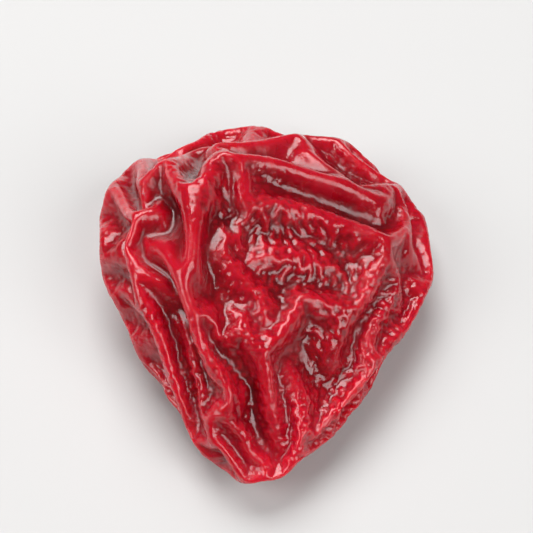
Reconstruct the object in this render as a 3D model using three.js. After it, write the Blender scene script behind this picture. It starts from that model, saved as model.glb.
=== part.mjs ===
// A dried cranberry: one slice of berry whose skin has crumpled over its shrunken flesh.
// Millimetres, +Z up. It lies on its hollow side with its broad side up: the pointed stem end is
// towards -Y, the round end towards +Y, and the origin is on the surface below its middle.
// The form is found by drying: the flesh shrinks from the fresh size to the dried one, and the
// skin, which keeps its own area, folds over it, stays clear of itself and rests on a tray.

import * as THREE from "three";
import { mergeVertices } from "three/addons/utils/BufferGeometryUtils.js";

// Size of the dried piece over all, as [width, length, thickness].
const DRIED_SIZE = [8.8, 10.8, 4.6];
// Size of its shrunken flesh, which the folds of the skin stand proud of.
const FLESH_SIZE = [7.2, 9.6, 4.4];
// Size that the skin had on the fresh slice, which sets how much of it there is to fold.
const SKIN_SIZE = [9, 11, 6];
// Flesh left inside, in cubic millimetres.
const DRIED_VOLUME = 130;

// The flesh: how much narrower its stem end and its round end are, how flat its underside is, how
// far both ends droop to the surface, and the square of the place along it where the droop starts.
const STEM_TAPER = 0.2;
const ROUND_END_TAPER = 0.25;
const UNDERSIDE_SHARE = 0.8;
const END_DROOP = 0.2;
const DROOP_START = 0.3;
// The hollow under the piece, where the slice's rim has curled round: its depth, the height at
// which it starts, how soon it is full, and the square of its half width, all on a unit ball.
const HOLLOW_DEPTH = 1.1;
const HOLLOW_TOP = 0.15;
const HOLLOW_BLEND = 0.6;
const HOLLOW_SPREAD = 0.55;
// Uneven shrinking of the flesh, as a height, and the lumps that it leaves.
const LUMP_HEIGHT = 0.4;
const LUMP_WAVES = { count: 12, slowest: 1.2, fastest: 2.6, lengthwise: 1 };

// Lengthwise folds fan out from the stem end. Each is [angle round the length, share of the
// height], with 0 at the left margin, 90 on top, 180 at the right margin and 270 underneath.
const FOLDS = [
  [2, 0.8],
  [38, 0.6],
  [72, 0.9],
  [108, 0.7],
  [142, 0.9],
  [176, 1.3],
  [222, 0.6],
  [272, 0.5],
  [322, 0.7],
];
const FOLD_HEIGHT = 0.3;
const FOLD_SHARPNESS = 0.2;
const FOLD_TWIST = 0.35;
// Level of the valleys between the folds, and how soon the folds rise away from both ends.
const VALLEY_SHARE = -0.45;
const FOLD_RISE = 1.6;

// Flats that the skin pulls tight across, each as [direction, distance from the middle].
const FLATS = [
  [[0.22, 0.6, 0.77], 2.9],
  [[0.55, 0.1, 0.83], 2.6],
  [[-0.4, -0.6, 0.7], 3.4],
];

// Skin: its mesh, its stiffness, its grip on the flesh, and the gap that its folds keep. Points
// that lay within so many gaps of each other on the fresh skin are neighbours and may touch.
const MESH_DETAIL = 21;
const STRETCH_STIFFNESS = 0.9;
const BEND_STIFFNESS = 0.16;
const FLESH_GRIP = 0.0017;
const GRIP_VARIATION = 0.9;
const FOLD_GAP = 0.26;
const NEIGHBOUR_GAPS = 2.2;
// The faint ripple that the fresh skin has, from which its small folds start.
const FIRST_RIPPLE = 0.15;
const RIPPLE_WAVES = { count: 24, slowest: 3, fastest: 7, lengthwise: 0.5 };

// Drying: steps, rounds of settling in each, the share of the steps that shrink the flesh, and the
// share of the missing volume that one round makes up.
const DRYING_STEPS = 70;
const ROUNDS_PER_STEP = 24;
const SHRINKING_SHARE = 0.85;
const VOLUME_SHARE = 0.5;
// Rounds between two searches for folds that come close, and how many gaps away they look.
const PAIR_SEARCH_ROUNDS = 8;
const SEARCH_GAPS = 2;
// Cells along each side of the space that is searched.
const CELLS_ACROSS = 1024;
const TRAY_HEIGHT = -1.35;
const SEED = 11;

// After drying: how much the stem end has drawn in, the height up to which its own weight has
// pressed the lowest folds flat, and the share of their relief that they keep.
const STEM_NARROWING = 0.16;
const PRESSED_HEIGHT = 0.4;
const RELIEF_KEPT = 0.1;
// The three low places that the piece rests on, as shares of its width and length from the left and
// from the stem end, their radius, and how far the underside arches up between them, fading out
// at a height above the surface.
const RESTING_PLACES = [
  [0.44, 0.86],
  [0.74, 0.32],
  [0.22, 0.32],
];
const RESTING_RADIUS = 0.8;
const ARCH_HEIGHT = 0.3;
const ARCH_TOP = 1.2;

// Corners of the round mesh closer than this are one.
const MERGE_DISTANCE = 1e-5;
// Stands in for a length of nothing.
const LEAST_LENGTH = 1e-9;

const SKIN_COLOUR = 0x8a0a18;
const SKIN_ROUGHNESS = 0.28;

const radians = THREE.MathUtils.degToRad;

// Random numbers from 0 to 1 in a fixed order, by the usual multiply and add on 32 bits.
function seededRandom(seed) {
  const multiplier = 1664525;
  const step = 1013904223;
  const range = 2 ** 32;
  let state = seed;
  return () => {
    state = (state * multiplier + step) % range;
    return state / range;
  };
}

// A smooth random height over directions: a sum of waves, from the slowest to the fastest.
function randomWaves(random, { count, slowest, fastest, lengthwise }) {
  const waves = Array.from({ length: count }, () => {
    const rate = THREE.MathUtils.lerp(slowest, fastest, random());
    const rise = 2 * random() - 1;
    const turn = 2 * Math.PI * random();
    const level = Math.sqrt(1 - rise * rise);
    return {
      x: rate * level * Math.cos(turn),
      y: rate * lengthwise * rise,
      z: rate * level * Math.sin(turn),
      phase: 2 * Math.PI * random(),
    };
  });
  const scale = Math.sqrt(2 / count);
  return (x, y, z) =>
    scale *
    waves.reduce((sum, w) => sum + Math.sin(w.x * x + w.y * y + w.z * z + w.phase), 0);
}

// A round mesh: unit directions, triangles, edges, and the two far corners across each edge.
function roundMesh(detail) {
  const ball = new THREE.IcosahedronGeometry(1, detail);
  ball.deleteAttribute("normal");
  ball.deleteAttribute("uv");
  const merged = mergeVertices(ball, MERGE_DISTANCE);
  const directions = Float64Array.from(merged.attributes.position.array);
  const triangles = Array.from(merged.index.array);
  const count = directions.length / 3;
  const farCorner = new Map();
  const edges = [];
  const hinges = [];
  for (let t = 0; t < triangles.length; t += 3) {
    for (let k = 0; k < 3; k++) {
      const a = triangles[t + k];
      const b = triangles[t + ((k + 1) % 3)];
      const c = triangles[t + ((k + 2) % 3)];
      const key = Math.min(a, b) * count + Math.max(a, b);
      if (farCorner.has(key)) {
        hinges.push([farCorner.get(key), c]);
      } else {
        farCorner.set(key, c);
        edges.push([a, b]);
      }
    }
  }
  return { directions, triangles, edges, hinges, count };
}

const random = seededRandom(SEED);
const ripple = randomWaves(random, RIPPLE_WAVES);
const lumps = randomWaves(random, LUMP_WAVES);
const mesh = roundMesh(MESH_DETAIL);

// Height of the lengthwise folds at an angle round the piece.
function foldHeight(angle) {
  let height = VALLEY_SHARE;
  for (const [degrees, share] of FOLDS) {
    const away = angle - radians(degrees);
    const nearest = Math.abs(Math.atan2(Math.sin(away), Math.cos(away)));
    height += share * Math.exp(-nearest / FOLD_SHARPNESS);
  }
  return FOLD_HEIGHT * height;
}

// Where the flesh lies in a direction, from fresh (dryness 0) to dried (dryness 1).
function fleshPoint(x, y, z, dryness) {
  const [halfWidth, halfLength, halfThickness] = SKIN_SIZE.map(
    (fresh, k) => THREE.MathUtils.lerp(fresh, FLESH_SIZE[k], dryness) / 2,
  );
  const roundEnd = ROUND_END_TAPER * dryness * Math.max(0, y) ** 3;
  const taper = 1 + STEM_TAPER * y - roundEnd;
  const flatter = z < 0 ? THREE.MathUtils.lerp(1, UNDERSIDE_SHARE, dryness) : 1;
  const rise = Math.min(1, FOLD_RISE * Math.hypot(x, z));
  const fold = 1 + dryness * rise * foldHeight(Math.atan2(z, x) - FOLD_TWIST * y);
  const point = [
    halfWidth * x * taper * fold,
    halfLength * y,
    halfThickness * z * flatter * taper * fold,
  ];
  for (const [direction, away] of FLATS) {
    const length = Math.hypot(...direction);
    const reach = direction.reduce((sum, d, k) => sum + (d * point[k]) / length, 0);
    const cut = Math.max(0, reach - away) * dryness;
    direction.forEach((d, k) => (point[k] -= (cut * d) / length));
  }
  const under = THREE.MathUtils.clamp((HOLLOW_TOP - z) / HOLLOW_BLEND, 0, 1);
  const hollow = HOLLOW_DEPTH * under * Math.max(0, 1 - (x * x) / HOLLOW_SPREAD) * (1 - y * y);
  const droop = END_DROOP * (y * y - DROOP_START);
  point[0] += dryness * LUMP_HEIGHT * lumps(z, x, y);
  point[2] += dryness * (LUMP_HEIGHT * lumps(x, y, z) + hollow - droop);
  return point;
}

// The skin's points, laid out on the flesh at one dryness.
function layOut(dryness) {
  const laid = new Float64Array(3 * mesh.count);
  for (let i = 0; i < mesh.count; i++) {
    const [x, y, z] = mesh.directions.subarray(3 * i, 3 * i + 3);
    laid.set(fleshPoint(x, y, z, dryness), 3 * i);
  }
  return laid;
}

function distance(points, a, b) {
  const x = points[3 * a] - points[3 * b];
  const y = points[3 * a + 1] - points[3 * b + 1];
  const z = points[3 * a + 2] - points[3 * b + 2];
  return Math.sqrt(x * x + y * y + z * z);
}

// Moves two points apart or together, by a share of what is missing from a length.
function adjustPair(points, a, b, length, share) {
  const from = 3 * a;
  const to = 3 * b;
  const x = points[to] - points[from];
  const y = points[to + 1] - points[from + 1];
  const z = points[to + 2] - points[from + 2];
  const now = Math.sqrt(x * x + y * y + z * z) || LEAST_LENGTH;
  const move = (0.5 * share * (now - length)) / now;
  points[from] += move * x;
  points[from + 1] += move * y;
  points[from + 2] += move * z;
  points[to] -= move * x;
  points[to + 1] -= move * y;
  points[to + 2] -= move * z;
}

function adjustLengths(points, pairs, lengths, share) {
  for (let k = 0; k < pairs.length; k++) {
    adjustPair(points, pairs[k][0], pairs[k][1], lengths[k], share);
  }
}

// Six times the volume that the skin holds, and how it changes as each point moves.
function sixVolumes(p, slope) {
  let sum = 0;
  slope.fill(0);
  for (let t = 0; t < mesh.triangles.length; t += 3) {
    const a = 3 * mesh.triangles[t];
    const b = 3 * mesh.triangles[t + 1];
    const c = 3 * mesh.triangles[t + 2];
    for (const [i, j, k] of [
      [a, b, c],
      [b, c, a],
      [c, a, b],
    ]) {
      slope[i] += p[j + 1] * p[k + 2] - p[j + 2] * p[k + 1];
      slope[i + 1] += p[j + 2] * p[k] - p[j] * p[k + 2];
      slope[i + 2] += p[j] * p[k + 1] - p[j + 1] * p[k];
    }
    sum +=
      p[a] * (p[b + 1] * p[c + 2] - p[b + 2] * p[c + 1]) +
      p[a + 1] * (p[b + 2] * p[c] - p[b] * p[c + 2]) +
      p[a + 2] * (p[b] * p[c + 1] - p[b + 1] * p[c]);
  }
  return sum;
}

// Lets the skin in or out, all over, towards a volume.
function holdVolume(points, volume, slope) {
  const missing = 6 * volume - sixVolumes(points, slope);
  const steepness = slope.reduce((sum, s) => sum + s * s, 0);
  const move = (VOLUME_SHARE * missing) / steepness;
  for (let k = 0; k < points.length; k++) points[k] += move * slope[k];
}

// Pairs of points that are close now, but not neighbours in the skin.
function closePairs(points, skin, reach) {
  const cells = new Map();
  const middle = CELLS_ACROSS / 2;
  const cellOf = (i) => [0, 1, 2].map((k) => Math.floor(points[3 * i + k] / reach) + middle);
  const key = (x, y, z) => (x * CELLS_ACROSS + y) * CELLS_ACROSS + z;
  const found = [];
  for (let i = 0; i < mesh.count; i++) {
    const [x, y, z] = cellOf(i);
    for (let dx = -1; dx <= 1; dx++) {
      for (let dy = -1; dy <= 1; dy++) {
        for (let dz = -1; dz <= 1; dz++) {
          for (const j of cells.get(key(x + dx, y + dy, z + dz)) ?? []) {
            const near = distance(points, i, j) < reach;
            const neighbours = distance(skin, i, j) <= NEIGHBOUR_GAPS * FOLD_GAP;
            if (near && !neighbours) found.push([i, j]);
          }
        }
      }
    }
    const own = key(x, y, z);
    if (!cells.has(own)) cells.set(own, []);
    cells.get(own).push(i);
  }
  return found;
}

// Shrinks the flesh step by step and lets the skin settle on it.
function dry() {
  const skin = layOut(0);
  const points = Float64Array.from(skin);
  const grip = new Float64Array(mesh.count);
  for (let i = 0; i < mesh.count; i++) {
    const [x, y, z] = mesh.directions.subarray(3 * i, 3 * i + 3);
    const rise = FIRST_RIPPLE * ripple(x, y, z);
    points[3 * i] += rise * x;
    points[3 * i + 1] += rise * y;
    points[3 * i + 2] += rise * z;
    grip[i] = FLESH_GRIP * Math.exp(GRIP_VARIATION * lumps(x, y, z));
  }
  const edgeLengths = mesh.edges.map(([a, b]) => distance(skin, a, b));
  const hingeLengths = mesh.hinges.map(([a, b]) => distance(skin, a, b));
  const slope = new Float64Array(points.length);
  const freshVolume = sixVolumes(skin, slope) / 6;
  for (let step = 1; step <= DRYING_STEPS; step++) {
    const dryness = Math.min(1, step / (SHRINKING_SHARE * DRYING_STEPS));
    const flesh = layOut(dryness);
    const volume = THREE.MathUtils.lerp(freshVolume, DRIED_VOLUME, dryness);
    let pairs = [];
    for (let round = 0; round < ROUNDS_PER_STEP; round++) {
      if (round % PAIR_SEARCH_ROUNDS === 0) {
        pairs = closePairs(points, skin, SEARCH_GAPS * FOLD_GAP);
      }
      adjustLengths(points, mesh.edges, edgeLengths, STRETCH_STIFFNESS);
      adjustLengths(points, mesh.hinges, hingeLengths, BEND_STIFFNESS);
      for (let k = 0; k < points.length; k++) {
        points[k] += grip[Math.floor(k / 3)] * (flesh[k] - points[k]);
      }
      holdVolume(points, volume, slope);
      for (const [a, b] of pairs) {
        if (distance(points, a, b) < FOLD_GAP) adjustPair(points, a, b, FOLD_GAP, 1);
      }
      const tray = THREE.MathUtils.lerp(-SKIN_SIZE[2], TRAY_HEIGHT, dryness);
      for (let k = 2; k < points.length; k += 3) points[k] = Math.max(points[k], tray);
    }
  }
  return points;
}

// Changes left and right over, as the drying is worked out with +X to the left.
function mirror(geometry) {
  geometry.scale(-1, 1, 1);
  geometry.setIndex(Array.from(geometry.index.array).reverse());
}

// Draws the stem end in from both sides.
function narrowStem(geometry) {
  geometry.computeBoundingBox();
  const { min, max } = geometry.boundingBox;
  const middle = (min.y + max.y) / 2;
  const position = geometry.attributes.position;
  for (let i = 0; i < position.count; i++) {
    const towardsStem = (middle - position.getY(i)) / (middle - min.y);
    const share = THREE.MathUtils.smoothstep(towardsStem, 0, 1);
    position.setX(i, position.getX(i) * (1 - STEM_NARROWING * share));
  }
}

// Presses the lowest folds nearly flat, which gives the piece a level base.
function pressFlat(geometry) {
  geometry.computeBoundingBox();
  const level = geometry.boundingBox.min.z + PRESSED_HEIGHT;
  const position = geometry.attributes.position;
  for (let i = 0; i < position.count; i++) {
    const below = Math.max(0, level - position.getZ(i));
    position.setZ(i, position.getZ(i) + (1 - RELIEF_KEPT) * below);
  }
}

// Arches the base up between its resting places, so that the piece stands steady on those three.
function archBase(geometry) {
  geometry.computeBoundingBox();
  const { min, max } = geometry.boundingBox;
  const places = RESTING_PLACES.map(([x, y]) => [
    THREE.MathUtils.lerp(min.x, max.x, x),
    THREE.MathUtils.lerp(min.y, max.y, y),
  ]);
  const position = geometry.attributes.position;
  for (let i = 0; i < position.count; i++) {
    const away = places.map(([x, y]) => Math.hypot(position.getX(i) - x, position.getY(i) - y));
    const clear = THREE.MathUtils.smoothstep(Math.min(...away), 0, RESTING_RADIUS);
    const low = 1 - THREE.MathUtils.smoothstep(position.getZ(i) - min.z, 0, ARCH_TOP);
    position.setZ(i, position.getZ(i) + ARCH_HEIGHT * clear * low);
  }
}

// Brings the dried piece to its size over all, with its middle over the origin and its foot on it.
function fitToSize(geometry) {
  geometry.computeBoundingBox();
  const size = geometry.boundingBox.getSize(new THREE.Vector3());
  const [width, length, thickness] = DRIED_SIZE;
  geometry.scale(width / size.x, length / size.y, thickness / size.z);
  geometry.computeBoundingBox();
  const middle = geometry.boundingBox.getCenter(new THREE.Vector3());
  geometry.translate(-middle.x, -middle.y, -geometry.boundingBox.min.z);
}

function driedCranberry() {
  const geometry = new THREE.BufferGeometry();
  geometry.setAttribute("position", new THREE.Float32BufferAttribute(dry(), 3));
  geometry.setIndex(mesh.triangles);
  mirror(geometry);
  narrowStem(geometry);
  pressFlat(geometry);
  archBase(geometry);
  fitToSize(geometry);
  geometry.computeVertexNormals();
  const skin = new THREE.MeshStandardMaterial({
    color: SKIN_COLOUR,
    roughness: SKIN_ROUGHNESS,
    metalness: 0,
  });
  const piece = new THREE.Mesh(geometry, skin);
  piece.name = "dried_cranberry";
  return piece;
}

const group = new THREE.Group();
group.add(driedCranberry());

export default group;
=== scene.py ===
"""A dried cranberry: its skin, drawn into small wrinkles, its ruby finish, the studio and the camera."""

import logging
import math
from dataclasses import dataclass, field
from enum import Enum

import bmesh
import bpy
import numpy as np
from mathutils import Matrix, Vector
from mathutils.bvhtree import BVHTree


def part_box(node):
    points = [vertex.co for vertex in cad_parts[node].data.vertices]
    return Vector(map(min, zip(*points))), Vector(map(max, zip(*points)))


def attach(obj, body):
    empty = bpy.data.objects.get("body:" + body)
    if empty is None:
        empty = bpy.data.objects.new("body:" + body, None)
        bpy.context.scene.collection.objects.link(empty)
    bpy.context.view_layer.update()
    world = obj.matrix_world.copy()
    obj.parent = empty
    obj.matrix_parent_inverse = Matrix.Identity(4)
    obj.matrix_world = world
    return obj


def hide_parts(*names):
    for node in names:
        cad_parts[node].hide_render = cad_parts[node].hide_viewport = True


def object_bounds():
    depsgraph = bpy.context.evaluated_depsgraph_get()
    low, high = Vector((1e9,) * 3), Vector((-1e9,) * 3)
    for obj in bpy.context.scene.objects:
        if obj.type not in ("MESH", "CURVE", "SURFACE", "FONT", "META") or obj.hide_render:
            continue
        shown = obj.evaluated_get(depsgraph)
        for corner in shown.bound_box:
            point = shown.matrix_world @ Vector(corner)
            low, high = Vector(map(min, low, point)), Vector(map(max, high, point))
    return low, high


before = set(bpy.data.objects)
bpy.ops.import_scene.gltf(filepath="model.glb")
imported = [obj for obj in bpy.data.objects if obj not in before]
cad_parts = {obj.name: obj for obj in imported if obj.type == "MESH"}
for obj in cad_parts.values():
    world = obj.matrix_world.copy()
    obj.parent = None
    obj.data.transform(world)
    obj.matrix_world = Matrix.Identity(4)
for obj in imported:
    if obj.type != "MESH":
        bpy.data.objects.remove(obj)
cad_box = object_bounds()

log = logging.getLogger("dried_cranberry")

MM = 0.001
FRUIT_NODE = "dried_cranberry"
FRUIT_BODY = "root"

# Keeps a division by a length of nothing safe.
TINY = 1e-12
# A ray into the flesh starts this share of its length under the skin.
RAY_START = 1e-3
# The middle value of a noise node, which gives 0 to 1.
NOISE_MIDDLE = 0.5

Colour = tuple[float, float, float]


class SkinField(Enum):
    """A measure of the skin that the mesh carries for its finish, from 0 to 1, which places the painted
    highlight, shade and glow.
    """

    CREST = "crest"
    FOLD = "fold"
    THINNESS = "thinness"


def smooth_step(values: np.ndarray, low: float, high: float) -> np.ndarray:
    """Eases values from 0 at one level to 1 at another.

    Args:
        values: The values to ease.
        low: The level that gives 0.
        high: The level that gives 1.

    Returns:
        The eased values.
    """
    share = np.clip((values - low) / (high - low), 0.0, 1.0)
    return share * share * (3.0 - 2.0 * share)


def sum_by(owners: np.ndarray, values: np.ndarray, count: int) -> np.ndarray:
    """Adds up the values that belong to each owner.

    Args:
        owners: The owner of each row of values.
        values: The rows to add, one or more numbers each.
        count: How many owners there are.

    Returns:
        One row of sums for each owner.
    """
    return np.stack([np.bincount(owners, column, count) for column in values.T], axis=1)


def partner_table(first: np.ndarray, second: np.ndarray, count: int) -> np.ndarray:
    """Lists the partners of each point, padded with the point itself.

    Args:
        first: One point of each pair.
        second: The other point of each pair.
        count: How many points there are.

    Returns:
        One row of partners for each point.
    """
    owners = np.concatenate([first, second])
    partners = np.concatenate([second, first])
    order = np.argsort(owners, kind="stable")
    owners, partners = owners[order], partners[order]
    valence = np.bincount(owners, minlength=count)
    column = np.arange(len(owners)) - (np.cumsum(valence) - valence)[owners]
    table = np.tile(np.arange(count)[:, None], (1, valence.max()))
    table[owners, column] = partners
    return table


@dataclass(frozen=True)
class Waves:
    """A smooth random field in space, made of a few plane waves.

    Attributes:
        length: The mean wave length, in metres.
        seed: The seed of its random draw.
        count: How many waves there are.
        spread: How far the wave lengths lie from the mean, as a share of it.
    """

    length: float
    seed: int
    count: int = 16
    spread: float = 0.35

    def at(self, points: np.ndarray) -> np.ndarray:
        """Gives the field at points, about -1 to 1, with a mean square of a half.

        Args:
            points: The places, one row of x, y and z each.

        Returns:
            One value for each place.
        """
        draw = np.random.default_rng(self.seed)
        directions = draw.normal(size=(self.count, 3))
        directions /= np.linalg.norm(directions, axis=1, keepdims=True)
        lengths = self.length * (1.0 + self.spread * draw.uniform(-1.0, 1.0, self.count))
        phases = draw.uniform(0.0, 2.0 * math.pi, self.count)
        turns = points @ (2.0 * math.pi * directions / lengths[:, None]).T + phases
        return np.sin(turns).sum(axis=1) / math.sqrt(self.count)


class TriangleSkin:
    """A closed skin of triangles, held as arrays in metres."""

    def __init__(self, points: np.ndarray, triangles: np.ndarray) -> None:
        """Finds the edges of the skin and what lies across each of them.

        Args:
            points: The corners, one row of x, y and z each.
            triangles: The three corners of each triangle.
        """
        self.points = points
        self.triangles = triangles
        self.count = len(points)
        a, b, c = triangles.T
        sides = np.concatenate([np.stack(side, axis=1) for side in ((a, b), (b, c), (c, a))])
        self.across = np.concatenate([c, a, b])
        self.edges, edge_of = np.unique(np.sort(sides, axis=1), axis=0, return_inverse=True)
        self.edge_of = edge_of.ravel()

    @classmethod
    def from_object(cls, source: bpy.types.Object, weld: float) -> "TriangleSkin":
        """Reads an object's loose triangles and joins the corners that meet.

        Args:
            source: The object to read.
            weld: How close two corners are to count as one, in metres.

        Returns:
            The closed skin.
        """
        shape = bmesh.new()
        shape.from_mesh(source.data)
        bmesh.ops.remove_doubles(shape, verts=shape.verts, dist=weld)
        bmesh.ops.triangulate(shape, faces=shape.faces)
        points = np.array([corner.co[:] for corner in shape.verts])
        triangles = np.array([[corner.index for corner in face.verts] for face in shape.faces])
        shape.free()
        return cls(points, triangles)

    def neighbours(self) -> np.ndarray:
        """Lists the points that share an edge with each point."""
        return partner_table(self.edges[:, 0], self.edges[:, 1], self.count)

    def hinge_partners(self) -> np.ndarray:
        """Lists the points that face each point across the edge opposite to it."""
        facing = self.across[np.argsort(self.edge_of, kind="stable")].reshape(-1, 2)
        return partner_table(facing[:, 0], facing[:, 1], self.count)

    def normals(self, points: np.ndarray | None = None) -> np.ndarray:
        """Gives the outward direction at each point.

        Args:
            points: Other places of the same corners, or none for its own.

        Returns:
            One unit direction for each point.
        """
        places = self.points if points is None else points
        a, b, c = (places[self.triangles[:, k]] for k in range(3))
        facing = np.cross(b - a, c - a)
        total = sum(sum_by(self.triangles[:, k], facing, self.count) for k in range(3))
        return total / np.linalg.norm(total, axis=1, keepdims=True)

    def refine(self, values: np.ndarray) -> np.ndarray:
        """Carries values over to the split skin, smoothed by Loop's rule.

        Args:
            values: One row of numbers for each point.

        Returns:
            One row for each point, and then one for each edge's middle.
        """
        first, second = self.edges.T
        valence = np.bincount(self.edges.ravel(), minlength=self.count)[:, None]
        around = sum_by(first, values[second], self.count) + sum_by(second, values[first], self.count)
        share = (5 / 8 - (3 / 8 + np.cos(2 * math.pi / valence) / 4) ** 2) / valence
        kept = (1 - valence * share) * values + share * around
        facing = sum_by(self.edge_of, values[self.across], len(self.edges))
        middles = 3 / 8 * (values[first] + values[second]) + facing / 8
        return np.concatenate([kept, middles])

    def subdivided(self) -> "TriangleSkin":
        """Splits every triangle in four and rounds the skin.

        Returns:
            The finer skin.
        """
        a, b, c = self.triangles.T
        ab, bc, ca = self.edge_of.reshape(3, -1) + self.count
        corners = ((a, ab, ca), (b, bc, ab), (c, ca, bc), (ab, bc, ca))
        triangles = np.concatenate([np.stack(three, axis=1) for three in corners])
        return TriangleSkin(self.refine(self.points), triangles)

    def smoothed(self, rounds: int) -> np.ndarray:
        """Gives the points of a smoother skin.

        Args:
            rounds: How often each point moves to the middle of its neighbours.

        Returns:
            The smoothed points.
        """
        table = self.neighbours()
        points = self.points.copy()
        for _ in range(rounds):
            points = (points + points[table].mean(axis=1)) / 2
        return points

    def height_over(self, rounds: int) -> np.ndarray:
        """Says how far each point stands out from a smoother skin, in metres."""
        smoother = self.smoothed(rounds)
        return ((self.points - smoother) * self.normals(smoother)).sum(axis=1)

    def thickness(self, rays: int, spread: float, longest: float) -> np.ndarray:
        """Measures how thick the flesh is under each point.

        Args:
            rays: How many ways it is measured round the inward direction.
            spread: How far those ways lean from it, as a slope.
            longest: The most that is measured, in metres.

        Returns:
            The mean thickness at each point, in metres.
        """
        tree = BVHTree.FromPolygons(self.points.tolist(), self.triangles.tolist())
        lift = longest * RAY_START
        turns = [2 * math.pi * k / rays for k in range(rays)]
        found = np.empty(self.count)
        for index, (point, normal) in enumerate(zip(self.points, self.normals())):
            inward = -Vector(normal)
            side = inward.orthogonal().normalized()
            other = inward.cross(side)
            start = Vector(point) + lift * inward
            total = 0.0
            for turn in turns:
                lean = spread * (math.cos(turn) * side + math.sin(turn) * other)
                distance = tree.ray_cast(start, (inward + lean).normalized(), longest)[3]
                total += longest if distance is None else distance
            found[index] = total / rays
        return found


@dataclass(frozen=True)
class Relief:
    """How far the skin stands out from a smoother skin, as a measure from 0 to 1.

    Attributes:
        rounds: How often that skin is smoothed.
        low: The height or depth that gives 0, in metres.
        high: The height or depth that gives 1, in metres.
    """

    rounds: int
    low: float
    high: float

    def raised(self, skin: TriangleSkin) -> np.ndarray:
        """Measures how far each point of the skin stands out."""
        return smooth_step(skin.height_over(self.rounds), self.low, self.high)

    def sunken(self, skin: TriangleSkin) -> np.ndarray:
        """Measures how deep each point of the skin lies."""
        return smooth_step(-skin.height_over(self.rounds), self.low, self.high)


@dataclass
class FineDrying:
    """Dries the skin a little further, so that its slack gathers into small wrinkles.

    Attributes:
        across_slack: Spare skin across the fruit, as a share of its length.
        along_slack: Spare skin along the fruit, as a share of its length.
        stiffness: How much a hinge resists folding, from 0 to 1.
        grip: How much the flesh pulls the skin back in one round, from 0 to 1.
        rounds: How many rounds the skin takes to settle.
        ripple: The uneven start that the wrinkles grow from.
        ripple_height: The height of that start, in metres.
        highest: The most that a point may move, in metres.
        haste: How far each round goes towards what the skin asks for.
    """

    across_slack: float
    along_slack: float
    stiffness: float
    grip: float
    rounds: int
    ripple: Waves
    ripple_height: float
    highest: float
    haste: float = 1.4

    def pull(self, points: np.ndarray, table: np.ndarray, lengths: np.ndarray) -> np.ndarray:
        """Gives the move that brings each point to its lengths from its partners.

        Args:
            points: Where the points are.
            table: The partners of each point.
            lengths: The length that each pair should have.

        Returns:
            One move for each point.
        """
        away = points[table] - points[:, None, :]
        reach = np.sqrt((away * away).sum(axis=2))
        excess = 1.0 - lengths / np.maximum(reach, TINY)
        return (excess[:, :, None] * away).sum(axis=1) * (0.5 * self.haste / table.shape[1])

    def rest_lengths(
        self, points: np.ndarray, table: np.ndarray, slack: np.ndarray, lengthwise: np.ndarray
    ) -> np.ndarray:
        """Works out the length that each pair has in the slack skin.

        Args:
            points: Where the points lie on the flesh.
            table: The partners of each point.
            slack: How slack the skin is at each point, from 0 to 1.
            lengthwise: The direction of the folds at each point.

        Returns:
            One length for each pair.
        """
        away = points[table] - points[:, None, :]
        reach = np.sqrt((away * away).sum(axis=2))
        along = (away * lengthwise[:, None, :]).sum(axis=2) / np.maximum(reach, TINY)
        share = along * along
        spare = self.across_slack * (1.0 - share) + self.along_slack * share
        both = (slack[:, None] + slack[table]) / 2
        return reach * (1.0 + spare * both)

    def settle(self, skin: TriangleSkin, slack: np.ndarray, lengthwise: np.ndarray) -> np.ndarray:
        """Lets the skin gather over the flesh.

        Args:
            skin: The skin as it lies on the flesh.
            slack: How slack it is at each point, from 0 to 1.
            lengthwise: The direction of the folds at each point.

        Returns:
            The points of the gathered skin.
        """
        flesh = skin.points
        floor = flesh[:, 2].min()
        edges, hinges = skin.neighbours(), skin.hinge_partners()
        edge_lengths = self.rest_lengths(flesh, edges, slack, lengthwise)
        hinge_lengths = self.rest_lengths(flesh, hinges, slack, lengthwise)
        start = self.ripple_height * slack * self.ripple.at(flesh)
        points = flesh + skin.normals() * start[:, None]
        for _ in range(self.rounds):
            points += self.pull(points, edges, edge_lengths)
            points += self.stiffness * self.pull(points, hinges, hinge_lengths)
            points += self.grip * (flesh - points)
            points[:, 2] = np.maximum(points[:, 2], floor)
        moved = points - flesh
        reach = np.linalg.norm(moved, axis=1, keepdims=True)
        return flesh + moved * np.minimum(1.0, self.highest / np.maximum(reach, TINY))


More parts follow.
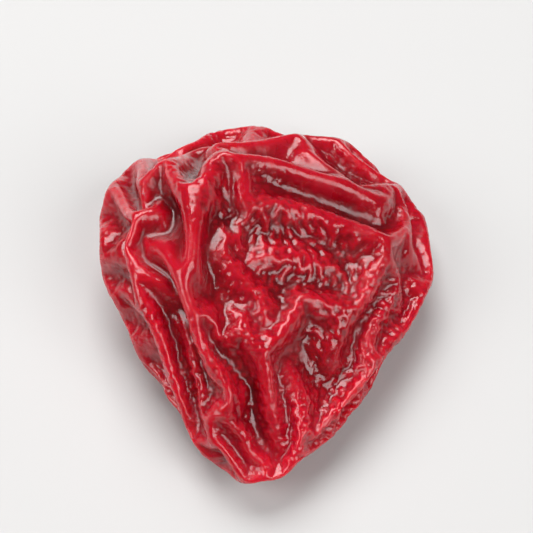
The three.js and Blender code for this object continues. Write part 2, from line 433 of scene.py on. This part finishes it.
class Wiring:
    """Adds nodes to a tree and joins them."""

    def __init__(self, tree: bpy.types.NodeTree) -> None:
        """Keeps the tree that the nodes go into."""
        self.tree = tree

    def node(self, kind: str, inputs: dict | None = None, **settings: object) -> bpy.types.Node:
        """Adds a node.

        Args:
            kind: The node's type.
            inputs: Its inputs by name or place, each a value or a socket to join.
            settings: Its own settings.

        Returns:
            The node.
        """
        made = self.tree.nodes.new(kind)
        for name, value in settings.items():
            setattr(made, name, value)
        for name, value in (inputs or {}).items():
            self.put(made.inputs[name], value)
        return made

    def put(self, socket: bpy.types.NodeSocket, value: object) -> None:
        """Joins a socket to another one, or sets its value.

        Args:
            socket: The input to fill.
            value: The output that feeds it, or its own value.
        """
        if isinstance(value, bpy.types.NodeSocket):
            self.tree.links.new(value, socket)
        else:
            socket.default_value = value

    def math(self, operation: str, *values: object, clamp: bool = False) -> bpy.types.NodeSocket:
        """Adds a step of arithmetic.

        Args:
            operation: The name of the step.
            values: What it works on, each a number or a socket.
            clamp: Whether its result is kept between 0 and 1.

        Returns:
            The result.
        """
        step = self.node("ShaderNodeMath", dict(enumerate(values)), operation=operation, use_clamp=clamp)
        return step.outputs[0]

    def eased(
        self, value: object, low: float, high: float, bottom: float, top: float
    ) -> bpy.types.NodeSocket:
        """Eases a value from one range into another.

        Args:
            value: The value or socket to ease.
            low: Where it starts to rise.
            high: Where it stops rising.
            bottom: What it gives below.
            top: What it gives above.

        Returns:
            The eased value.
        """
        limits = {"Value": value, "From Min": low, "From Max": high, "To Min": bottom, "To Max": top}
        eased = self.node("ShaderNodeMapRange", limits, interpolation_type="SMOOTHSTEP")
        return eased.outputs["Result"]

    def spread(self) -> None:
        """Lays the nodes out in columns, so that the tree can be read."""
        column_width, row_height, rows = 220, 180, 6
        for place, made in enumerate(self.tree.nodes):
            made.location = (column_width * (place // rows), -row_height * (place % rows))


def new_group(
    name: str, kind: str, inputs: dict[str, tuple[str, object]], outputs: dict[str, str]
) -> tuple[Wiring, bpy.types.Node, bpy.types.Node]:
    """Starts a node group with named sockets.

    Args:
        name: The group's name.
        kind: The type of its tree.
        inputs: The socket type and the usual value of each input.
        outputs: The socket type of each output.

    Returns:
        The wiring of the group, its input node and its output node.
    """
    tree = bpy.data.node_groups.new(name, kind)
    for label, (socket_type, usual) in inputs.items():
        socket = tree.interface.new_socket(label, in_out="INPUT", socket_type=socket_type)
        if usual is not None:
            socket.default_value = usual
    for label, socket_type in outputs.items():
        tree.interface.new_socket(label, in_out="OUTPUT", socket_type=socket_type)
    wiring = Wiring(tree)
    return wiring, wiring.node("NodeGroupInput"), wiring.node("NodeGroupOutput")


def patches_group() -> bpy.types.NodeTree:
    """Builds the group that gives soft uneven patches, for pigment, freckles and damp alike.

    Returns:
        The group.
    """
    narrowing = 0.4
    wiring, given, result = new_group(
        "uneven_patches",
        "ShaderNodeTree",
        {
            "Place": ("NodeSocketVector", None),
            "Patch Size": ("NodeSocketFloat", 1.0 * MM),
            "Sharpness": ("NodeSocketFloat", 0.5),
            "Detail": ("NodeSocketFloat", 3.0),
        },
        {"Mask": "NodeSocketFloat"},
    )
    scale = wiring.math("DIVIDE", 1.0, given.outputs["Patch Size"])
    noise = wiring.node(
        "ShaderNodeTexNoise",
        {"Vector": given.outputs["Place"], "Scale": scale, "Detail": given.outputs["Detail"]},
    )
    narrowed = wiring.math("MULTIPLY", given.outputs["Sharpness"], narrowing)
    low = wiring.math("SUBTRACT", NOISE_MIDDLE, narrowed)
    high = wiring.math("SUBTRACT", 1.0, low)
    mask = wiring.node(
        "ShaderNodeMapRange",
        {"Value": noise.outputs["Fac"], "From Min": low, "From Max": high},
        interpolation_type="SMOOTHSTEP",
    )
    wiring.put(result.inputs["Mask"], mask.outputs["Result"])
    wiring.spread()
    return wiring.tree


def skin_cells_group() -> bpy.types.NodeTree:
    """Builds the group that gives the height of the skin's finest creases and cells.

    Returns:
        The group.
    """
    bend_scale = 0.4
    bend_reach = 2.2
    crease_scale = 0.55
    cell_share = 0.35
    wiring, given, result = new_group(
        "skin_cells",
        "ShaderNodeTree",
        {
            "Place": ("NodeSocketVector", None),
            "Cell Size": ("NodeSocketFloat", 0.1 * MM),
            "Crease Share": ("NodeSocketFloat", 0.5),
        },
        {"Height": "NodeSocketFloat"},
    )
    scale = wiring.math("DIVIDE", 1.0, given.outputs["Cell Size"])
    bend = wiring.node(
        "ShaderNodeTexNoise",
        {
            "Vector": given.outputs["Place"],
            "Scale": wiring.math("MULTIPLY", scale, bend_scale),
            "Detail": 2.0,
        },
    )
    bent = wiring.node(
        "ShaderNodeVectorMath",
        {
            0: bend.outputs["Color"],
            "Scale": wiring.math("MULTIPLY", given.outputs["Cell Size"], bend_reach),
        },
        operation="SCALE",
    )
    place = wiring.node(
        "ShaderNodeVectorMath", {0: given.outputs["Place"], 1: bent.outputs[0]}, operation="ADD"
    )
    cells = wiring.node(
        "ShaderNodeTexVoronoi", {"Vector": place.outputs[0], "Scale": scale}, feature="SMOOTH_F1"
    )
    creases = wiring.node(
        "ShaderNodeTexNoise",
        {
            "Vector": place.outputs[0],
            "Scale": wiring.math("MULTIPLY", scale, crease_scale),
            "Detail": 3.0,
        },
    )
    ridged = wiring.math("ABSOLUTE", wiring.math("SUBTRACT", creases.outputs["Fac"], NOISE_MIDDLE))
    height = wiring.math(
        "SUBTRACT",
        wiring.math("MULTIPLY", ridged, given.outputs["Crease Share"]),
        wiring.math("MULTIPLY", cells.outputs["Distance"], cell_share),
    )
    wiring.put(result.inputs["Height"], height)
    wiring.spread()
    return wiring.tree


def painted_light_group() -> bpy.types.NodeTree:
    """Builds the group of painted light: how brightly the flesh is painted, from painted shade at 0 in
    deep folds to a painted glow at 1 where thin or on crests, shifted by real pigment patches.

    Returns:
        The group.
    """
    wiring, given, result = new_group(
        "painted_light",
        "ShaderNodeTree",
        {
            "Crest": ("NodeSocketFloat", 0.5),
            "Fold": ("NodeSocketFloat", 0.0),
            "Thinness": ("NodeSocketFloat", 0.5),
            "Patch": ("NodeSocketFloat", 0.5),
            "Least": ("NodeSocketFloat", 0.32),
            "Thin Glow Share": ("NodeSocketFloat", 0.3),
            "Crest Highlight Share": ("NodeSocketFloat", 0.38),
            "Fold Shade Share": ("NodeSocketFloat", 0.42),
            "Patch Share": ("NodeSocketFloat", 0.2),
        },
        {"Glow": "NodeSocketFloat"},
    )
    # Painted glow where the flesh is thin, and painted highlight on the crests.
    thin = wiring.math("MULTIPLY", given.outputs["Thinness"], given.outputs["Thin Glow Share"])
    crest = wiring.math("MULTIPLY_ADD", given.outputs["Crest"], given.outputs["Crest Highlight Share"], thin)
    # Painted shade in the folds.
    dark = wiring.math("MULTIPLY", given.outputs["Fold"], given.outputs["Fold Shade Share"])
    lit = wiring.math("SUBTRACT", wiring.math("ADD", crest, given.outputs["Least"]), dark)
    offset = wiring.math("SUBTRACT", given.outputs["Patch"], NOISE_MIDDLE)
    glow = wiring.math("MULTIPLY_ADD", offset, given.outputs["Patch Share"], lit, clamp=True)
    wiring.put(result.inputs["Glow"], glow)
    wiring.spread()
    return wiring.tree


@dataclass(frozen=True)
class Patches:
    """Soft uneven patches in a finish.

    Attributes:
        size: About how large they are, in metres.
        sharpness: How sharp their edges are, from 0 to 1.
        detail: How many finer scales their noise has.
    """

    size: float
    sharpness: float
    detail: float


@dataclass(frozen=True)
class RubySkinFinish:
    """The finish of the fruit: translucent ruby flesh under a damp, glossy skin, with painted shade in
    its folds and a painted glow on its crests and thin edges.

    Attributes:
        painted_fold_shade: The painted shade in the deepest folds.
        maroon: The colour of thick flesh, a painted shade where little light would come through it;
            darker pigment patches reach it too.
        ruby: The colour of most of the fruit.
        painted_glow: The painted glow of thin edges and the painted highlight on crests.
        stops: The glow at which each of these colours lies, from 0 to 1.
        pigment: Where the flesh holds more or less colour.
        freckles: The small darker spots.
        freckle_share: How much of the glow such a spot takes away.
        damp: Where the skin is damp or dry.
        depth: How far light wanders in the flesh, in metres.
        gloss: The skin's least roughness.
        dull: The skin's most roughness.
        relief: The height of the finest creases, in metres.
    """

    # Painted light: the deepest folds are painted dark, and thin edges and crests are painted bright.
    painted_fold_shade: Colour = (0.130, 0.0008, 0.0035)
    maroon: Colour = (0.280, 0.0015, 0.0070)
    ruby: Colour = (0.425, 0.0028, 0.0150)
    painted_glow: Colour = (0.530, 0.0060, 0.0240)
    stops: tuple[float, float, float, float] = (0.0, 0.25, 0.55, 0.9)
    pigment: Patches = Patches(size=1.5 * MM, sharpness=0.3, detail=4.0)
    freckles: Patches = Patches(size=0.22 * MM, sharpness=0.75, detail=2.0)
    freckle_share: float = 0.08
    damp: Patches = Patches(size=0.7 * MM, sharpness=0.5, detail=3.0)
    depth: float = 0.55 * MM
    gloss: float = 0.13
    dull: float = 0.32
    relief: float = 0.018 * MM

    def material(self) -> bpy.types.Material:
        """Builds the material.

        Returns:
            The material.
        """
        made = bpy.data.materials.new("ruby_fruit_skin")
        made.use_nodes = True
        made.node_tree.nodes.clear()
        wiring = Wiring(made.node_tree)
        place = wiring.node("ShaderNodeTexCoord").outputs["Object"]
        read = {
            kind: wiring.node("ShaderNodeAttribute", attribute_name=kind.value).outputs["Fac"]
            for kind in SkinField
        }
        group = patches_group()

        def mask(patches: Patches) -> bpy.types.NodeSocket:
            """Places the patches group.

            Args:
                patches: Their size, sharpness and detail.

            Returns:
                Their mask, from 0 to 1.
            """
            placed = wiring.node("ShaderNodeGroup", node_tree=group)
            for name, value in {
                "Place": place,
                "Patch Size": patches.size,
                "Sharpness": patches.sharpness,
                "Detail": patches.detail,
            }.items():
                wiring.put(placed.inputs[name], value)
            return placed.outputs["Mask"]

        pigment = mask(self.pigment)
        freckle = mask(self.freckles)
        damp = mask(self.damp)

        # Painted light: crests and thin flesh are painted brighter and folds painted darker, on top of
        # the real pigment patches.
        depth = wiring.node("ShaderNodeGroup", node_tree=painted_light_group())
        for name, value in {
            "Crest": read[SkinField.CREST],
            "Fold": read[SkinField.FOLD],
            "Thinness": read[SkinField.THINNESS],
            "Patch": pigment,
        }.items():
            wiring.put(depth.inputs[name], value)
        freckled = wiring.math(
            "MULTIPLY_ADD", freckle, -self.freckle_share, depth.outputs["Glow"], clamp=True
        )
        ramp = wiring.node("ShaderNodeValToRGB", {"Fac": freckled})
        self.colour(ramp.color_ramp)

        roughness = wiring.eased(damp, low=0.0, high=1.0, bottom=self.gloss, top=self.dull)
        cells = wiring.node("ShaderNodeGroup", node_tree=skin_cells_group())
        wiring.put(cells.inputs["Place"], place)
        bump = wiring.node("ShaderNodeBump", {"Height": cells.outputs["Height"], "Distance": self.relief})

        skin = wiring.node(
            "ShaderNodeBsdfPrincipled",
            {
                "Base Color": ramp.outputs["Color"],
                "Roughness": roughness,
                "Normal": bump.outputs["Normal"],
                "IOR": 1.45,
                "Subsurface Weight": 1.0,
                "Subsurface Radius": (1.0, 0.08, 0.10),
                "Subsurface Scale": self.depth,
                "Specular IOR Level": 0.6,
                "Coat Weight": 0.3,
                "Coat Roughness": 0.07,
                "Coat IOR": 1.4,
            },
        )
        output = wiring.node("ShaderNodeOutputMaterial", {"Surface": skin.outputs["BSDF"]})
        output.is_active_output = True
        wiring.spread()
        return made

    def colour(self, ramp: bpy.types.ColorRamp) -> None:
        """Sets a ramp to the fruit's colours, from the painted shade of the deepest fold to the painted
        glow of the brightest edge.

        Args:
            ramp: The ramp to set.
        """
        colours = (self.painted_fold_shade, self.maroon, self.ruby, self.painted_glow)
        while len(ramp.elements) < len(colours):
            ramp.elements.new(1.0)
        for element, position, colour in zip(ramp.elements, self.stops, colours):
            element.position = position
            element.color = (*colour, 1.0)


@dataclass(frozen=True)
class CalmPlace:
    """A place where the skin is drawn smooth, seen from above.

    Attributes:
        across: Where it lies, as a share of the width from the left.
        along: Where it lies, as a share of the length from the stem end.
        radius: How far it reaches, in metres.
    """

    across: float
    along: float
    radius: float


@dataclass(frozen=True)
class Slackness:
    """What makes the skin slack, each part as a share of full slack.

    Attributes:
        usual: What it has everywhere.
        uneven: What comes on top where it is loosest by chance.
        hollow: What comes on top in a hollow.
        round_end: What it loses towards the round end.
        least: What it has at least.
    """

    usual: float = 0.4
    uneven: float = 0.5
    hollow: float = 0.15
    round_end: float = 0.2
    least: float = 0.1


@dataclass
class DriedCranberry:
    """The fruit: one closed skin over its flesh.

    Attributes:
        name: The name of its piece.
        weld: How close the corners of the frame's mesh are to count as one, in metres.
        folds: The drying that leaves the wrinkles between the main folds.
        wrinkles: The drying that leaves the finest wrinkles.
        slackness: What makes the skin slack.
        calm: The stretch over which the skin changes from taut to slack, in metres.
        calm_places: The left band, the right lobe and the facet at the round end.
        calm_share: How much of the slack such a place takes away.
        wander: How far the wrinkles turn off the length of the fruit, in radians.
        wander_length: The stretch over which they turn, in metres.
        fan_start: How far before the stem end the folds fan out, as a share of the length.
        hollows: The relief in which the skin is slacker.
        deep_folds: The relief of the main folds.
        crests: The relief of the wrinkles.
        thickness_rays: How many rays measure the flesh under each point.
        thickness_spread: How far these rays lean from straight in, as a slope.
        thickness_limit: How far they reach, in metres.
        thick: The flesh that lets no light through, in metres.
        thin: The flesh that glows fully, in metres.
        pit_depth: The depth of the small pits, in metres.
        pit_spacing: The distance between them, in metres.
        grain_height: The height of the skin's grain, in metres.
        grain_length: The length of that grain, in metres.
        seed: The seed of the pits and the grain.
        finish: The finish of its skin.
    """

    name: str = "cranberry_skin"
    weld: float = 0.001 * MM
    folds: FineDrying = field(
        default_factory=lambda: FineDrying(
            across_slack=0.035,
            along_slack=0.02,
            stiffness=0.3,
            grip=0.008,
            rounds=120,
            ripple=Waves(length=0.45 * MM, seed=5, count=48, spread=0.6),
            ripple_height=0.015 * MM,
            highest=0.06 * MM,
        )
    )
    wrinkles: FineDrying = field(
        default_factory=lambda: FineDrying(
            across_slack=0.11,
            along_slack=0.05,
            stiffness=0.6,
            grip=0.01,
            rounds=80,
            ripple=Waves(length=0.34 * MM, seed=9, count=64, spread=0.6),
            ripple_height=0.022 * MM,
            highest=0.05 * MM,
        )
    )
    slackness: Slackness = Slackness()
    calm: float = 3.6 * MM
    calm_places: tuple[CalmPlace, ...] = (
        CalmPlace(across=0.26, along=0.42, radius=1.3 * MM),
        CalmPlace(across=0.72, along=0.72, radius=1.3 * MM),
        CalmPlace(across=0.50, along=0.84, radius=1.2 * MM),
    )
    calm_share: float = 0.8
    wander: float = 0.9
    wander_length: float = 2.2 * MM
    fan_start: float = 0.1
    hollows: Relief = Relief(rounds=24, low=-0.05 * MM, high=0.08 * MM)
    deep_folds: Relief = Relief(rounds=120, low=-0.02 * MM, high=0.45 * MM)
    crests: Relief = Relief(rounds=10, low=-0.035 * MM, high=0.045 * MM)
    thickness_rays: int = 5
    thickness_spread: float = 0.8
    thickness_limit: float = 4.0 * MM
    thick: float = 2.6 * MM
    thin: float = 0.5 * MM
    pit_depth: float = 0.010 * MM
    pit_spacing: float = 0.24 * MM
    grain_height: float = 0.008 * MM
    grain_length: float = 0.20 * MM
    seed: int = 4
    finish: RubySkinFinish = field(default_factory=RubySkinFinish)

    def lengthwise(self, skin: TriangleSkin) -> np.ndarray:
        """Gives the direction of the folds, which fan out from the stem end and wander on the way.

        Args:
            skin: The skin that they lie on.

        Returns:
            One unit direction for each point.
        """
        low, high = (np.array(corner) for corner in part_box(FRUIT_NODE))
        stem = (low + high) / 2
        stem[1] = low[1] - self.fan_start * (high[1] - low[1])
        away = skin.points - stem
        normals = skin.normals()
        away -= (away * normals).sum(axis=1, keepdims=True) * normals
        away /= np.linalg.norm(away, axis=1, keepdims=True)
        turn = self.wander * Waves(self.wander_length, seed=self.seed + 1).at(skin.points)[:, None]
        return np.cos(turn) * away + np.sin(turn) * np.cross(normals, away)

    def slack(self, skin: TriangleSkin) -> np.ndarray:
        """Says how slack the skin is: taut at the calm places, loose by the stem and in folds.

        Args:
            skin: The skin to dry.

        Returns:
            One share for each point, from 0 to 1.
        """
        low, high = (np.array(corner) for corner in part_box(FRUIT_NODE))
        along = (skin.points[:, 1] - low[1]) / (high[1] - low[1])
        calm = np.zeros(skin.count)
        for place in self.calm_places:
            centre = low[:2] + (high[:2] - low[:2]) * (place.across, place.along)
            away = np.linalg.norm(skin.points[:, :2] - centre, axis=1)
            calm = np.maximum(calm, np.exp(-((away / place.radius) ** 2)))
        uneven = 0.5 + 0.5 * Waves(self.calm, seed=self.seed).at(skin.points)
        hollow = self.hollows.sunken(skin)
        parts = self.slackness
        slack = parts.usual + parts.uneven * uneven + parts.hollow * hollow - parts.round_end * along
        return np.clip(slack, parts.least, 1.0) * (1.0 - self.calm_share * calm)

    def gathered(self, skin: TriangleSkin, drying: FineDrying) -> TriangleSkin:
        """Gives the skin after one more drying.

        Args:
            skin: The skin before it.
            drying: The drying.

        Returns:
            The wrinkled skin.
        """
        points = drying.settle(skin, self.slack(skin), self.lengthwise(skin))
        return TriangleSkin(points, skin.triangles)

    def fields(self, skin: TriangleSkin) -> np.ndarray:
        """Measures how deep in a fold and how thin the skin is.

        Args:
            skin: The skin to measure.

        Returns:
            One row for each point, with the fold and the thinness from 0 to 1.
        """
        fold = self.deep_folds.sunken(skin)
        flesh = skin.thickness(self.thickness_rays, self.thickness_spread, self.thickness_limit)
        return np.stack([fold, smooth_step(-flesh, -self.thick, -self.thin)], axis=1)

    def mesh(self) -> bpy.types.Mesh:
        """Builds the wrinkled skin with the measures that its finish reads.

        Returns:
            The mesh, without a material.
        """
        middle = TriangleSkin.from_object(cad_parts[FRUIT_NODE], self.weld).subdivided()
        middle = self.gathered(middle, self.folds)
        fine = middle.subdivided()
        fine = self.gathered(fine, self.wrinkles)
        fold, thin = middle.refine(self.fields(middle)).T
        crest = self.crests.raised(fine)

        made = bpy.data.meshes.new(self.name)
        made.from_pydata(fine.points.tolist(), [], fine.triangles.tolist())
        # The crest, fold and thinness measures place the painted highlight, painted shade and painted
        # glow of the finish.
        for kind, values in (
            (SkinField.CREST, crest),
            (SkinField.FOLD, fold),
            (SkinField.THINNESS, thin),
        ):
            made.attributes.new(kind.value, "FLOAT", "POINT").data.foreach_set("value", values)
        made.shade_smooth()
        made.update()
        return made

    def grain_tree(self, material: bpy.types.Material) -> bpy.types.NodeTree:
        """Builds the rule that gives the skin its grain and its pits.

        Args:
            material: The finish that the rule sets.

        Returns:
            The geometry tree.
        """
        wiring, given, result = new_group(
            "skin_grain",
            "GeometryNodeTree",
            {
                "Skin": ("NodeSocketGeometry", None),
                "Pit Depth": ("NodeSocketFloat", self.pit_depth),
                "Pit Spacing": ("NodeSocketFloat", self.pit_spacing),
                "Grain Height": ("NodeSocketFloat", self.grain_height),
                "Grain Length": ("NodeSocketFloat", self.grain_length),
                "Seed": ("NodeSocketInt", self.seed),
            },
            {"Skin": "NodeSocketGeometry"},
        )
        place = wiring.node("GeometryNodeInputPosition").outputs[0]
        normal = wiring.node("GeometryNodeInputNormal").outputs[0]
        pits = wiring.node(
            "ShaderNodeTexVoronoi",
            {
                "Vector": place,
                "Scale": wiring.math("DIVIDE", 1.0, given.outputs["Pit Spacing"]),
                "W": given.outputs["Seed"],
            },
            voronoi_dimensions="4D",
            feature="SMOOTH_F1",
        )
        pit = wiring.eased(pits.outputs["Distance"], low=0.05, high=0.5, bottom=-1.0, top=0.0)
        grain = wiring.node(
            "ShaderNodeTexNoise",
            {
                "Vector": place,
                "W": given.outputs["Seed"],
                "Scale": wiring.math("DIVIDE", 1.0, given.outputs["Grain Length"]),
                "Detail": 2.0,
            },
            noise_dimensions="4D",
        )
        swell = wiring.math("SUBTRACT", grain.outputs["Fac"], NOISE_MIDDLE)
        whole_swell = wiring.math("DIVIDE", swell, NOISE_MIDDLE)
        rise = wiring.math("MULTIPLY", whole_swell, given.outputs["Grain Height"])
        height = wiring.math("MULTIPLY_ADD", pit, given.outputs["Pit Depth"], rise)
        offset = wiring.node("ShaderNodeVectorMath", {0: normal, "Scale": height}, operation="SCALE")
        moved = wiring.node(
            "GeometryNodeSetPosition", {"Geometry": given.outputs["Skin"], "Offset": offset.outputs[0]}
        )
        whole = wiring.node("GeometryNodeRealizeInstances", {"Geometry": moved.outputs[0]})
        dressed = wiring.node(
            "GeometryNodeSetMaterial", {"Geometry": whole.outputs[0], "Material": material}
        )
        wiring.put(result.inputs["Skin"], dressed.outputs[0])
        wiring.spread()
        return wiring.tree

    def piece(self) -> bpy.types.Object:
        """Builds the finished fruit, with its grain applied.

        Returns:
            The fruit, which carries no modifier.
        """
        made = bpy.data.objects.new(self.name, self.mesh())
        bpy.context.scene.collection.objects.link(made)
        tree = self.grain_tree(self.finish.material())
        rule = made.modifiers.new("grain", "NODES")
        rule.node_group = tree
        sizes = {
            "Pit Depth": self.pit_depth,
            "Pit Spacing": self.pit_spacing,
            "Grain Height": self.grain_height,
            "Grain Length": self.grain_length,
            "Seed": self.seed,
        }
        for socket in tree.interface.items_tree:
            if socket.in_out == "INPUT" and socket.name in sizes:
                rule[socket.identifier] = sizes[socket.name]
        graph = bpy.context.evaluated_depsgraph_get()
        plain = bpy.data.meshes.new_from_object(made.evaluated_get(graph), depsgraph=graph)
        made.modifiers.clear()
        made.data = plain
        return made

    def build(self) -> bpy.types.Object:
        """Builds the fruit and puts it in the place of its plain solid.

        Returns:
            The fruit.
        """
        made = self.piece()
        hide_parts(FRUIT_NODE)
        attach(made, FRUIT_BODY)
        return made


@dataclass(frozen=True)
class Softbox:
    """A square studio light.

    Attributes:
        azimuth: Where it stands, in degrees round from the camera, positive to the right.
        elevation: How high it stands, in degrees.
        distance: How far it is from the fruit, in metres.
        size: Its side, in metres.
        power: Its power, in watts.
        colour: Its colour.
    """

    azimuth: float
    elevation: float
    distance: float
    size: float
    power: float
    colour: Colour = (1.0, 1.0, 1.0)


def direction(azimuth: float, elevation: float) -> Vector:
    """Gives the direction of a place seen from the fruit.

    Args:
        azimuth: Degrees round from the stem side, positive to the right.
        elevation: Degrees above the floor.

    Returns:
        A unit direction.
    """
    turn, rise = math.radians(azimuth), math.radians(elevation)
    return Vector(
        (math.sin(turn) * math.cos(rise), -math.cos(turn) * math.cos(rise), math.sin(rise))
    )


@dataclass
class Studio:
    """The pale floor, the soft lights and the camera.

    Attributes:
        floor_size: The side of the floor, in metres.
        floor_colour: The colour of the floor.
        floor_roughness: The roughness of the floor.
        air_colour: The colour of the light from all round.
        air_strength: The strength of that light.
        softboxes: The lights.
        elevation: The height of the camera over the fruit, in degrees.
        lens: The camera's lens, in millimetres.
        fill: The share of the picture's width that the fruit takes up.
    """

    floor_size: float = 2.0
    floor_colour: Colour = (0.60, 0.595, 0.59)
    floor_roughness: float = 0.75
    air_colour: Colour = (1.0, 0.98, 0.97)
    air_strength: float = 0.1
    softboxes: tuple[Softbox, ...] = (
        Softbox(azimuth=-165, elevation=58, distance=0.16, size=0.11, power=0.25),
        Softbox(azimuth=-75, elevation=40, distance=0.16, size=0.09, power=0.12),
        Softbox(azimuth=52, elevation=42, distance=0.17, size=0.11, power=0.17),
    )
    elevation: float = 58.0
    lens: float = 100.0
    fill: float = 0.8

    def floor(self) -> bpy.types.Object:
        """Lays the pale floor.

        Returns:
            The floor.
        """
        half = self.floor_size / 2
        corners = [(-half, -half, 0), (half, -half, 0), (half, half, 0), (-half, half, 0)]
        shape = bpy.data.meshes.new("floor")
        shape.from_pydata(corners, [], [(0, 1, 2, 3)])
        made = bpy.data.objects.new("floor", shape)
        bpy.context.scene.collection.objects.link(made)
        paper = bpy.data.materials.new("pale_paper")
        paper.use_nodes = True
        surface = paper.node_tree.nodes["Principled BSDF"]
        surface.inputs["Base Color"].default_value = (*self.floor_colour, 1.0)
        surface.inputs["Roughness"].default_value = self.floor_roughness
        shape.materials.append(paper)
        return made

    def air(self) -> None:
        """Sets the light that comes from all round."""
        world = bpy.data.worlds.new("studio_air")
        world.use_nodes = True
        background = world.node_tree.nodes["Background"]
        background.inputs["Color"].default_value = (*self.air_colour, 1.0)
        background.inputs["Strength"].default_value = self.air_strength
        bpy.context.scene.world = world

    def light(self, softbox: Softbox, target: Vector) -> bpy.types.Object:
        """Sets up one light, aimed at the fruit.

        Args:
            softbox: Its place, size and power.
            target: The middle of the fruit.

        Returns:
            The light.
        """
        lamp = bpy.data.lights.new("softbox", "AREA")
        lamp.shape = "SQUARE"
        lamp.size = softbox.size
        lamp.energy = softbox.power
        lamp.color = softbox.colour
        made = bpy.data.objects.new("softbox", lamp)
        bpy.context.scene.collection.objects.link(made)
        towards = direction(softbox.azimuth, softbox.elevation)
        made.location = target + softbox.distance * towards
        made.rotation_euler = towards.to_track_quat("Z", "Y").to_euler()
        return made

    def camera(self, target: Vector, width: float) -> bpy.types.Object:
        """Sets up the camera, so that the fruit fills its share of the picture.

        Args:
            target: The middle of the fruit.
            width: The length of the fruit, in metres.

        Returns:
            The camera.
        """
        view = bpy.data.cameras.new("camera")
        view.lens = self.lens
        view.clip_start = 1 * MM
        view.clip_end = 10.0
        made = bpy.data.objects.new("camera", view)
        bpy.context.scene.collection.objects.link(made)
        away = direction(0.0, self.elevation)
        distance = width / self.fill * self.lens / view.sensor_width
        made.location = target + distance * away
        made.rotation_euler = away.to_track_quat("Z", "Y").to_euler()
        bpy.context.scene.camera = made
        return made

    def build(self, box: tuple[Vector, Vector]) -> None:
        """Builds the studio round the fruit.

        Args:
            box: The lowest and the highest corner of the fruit.
        """
        low, high = box
        target = (low + high) / 2
        scene = bpy.context.scene
        scene.view_settings.view_transform = "Standard"
        scene.view_settings.look = "None"
        self.floor()
        self.air()
        for softbox in self.softboxes:
            self.light(softbox, target)
        self.camera(target, high.y - low.y)


def main() -> None:
    """Builds the studio and the fruit."""
    logging.basicConfig(level=logging.INFO, format="%(name)s: %(message)s")
    Studio().build(cad_box)
    log.info("studio built")
    fruit = DriedCranberry().build()
    log.info("%s built, %d triangles", fruit.name, len(fruit.data.polygons))


if __name__ == "__main__":
    main()
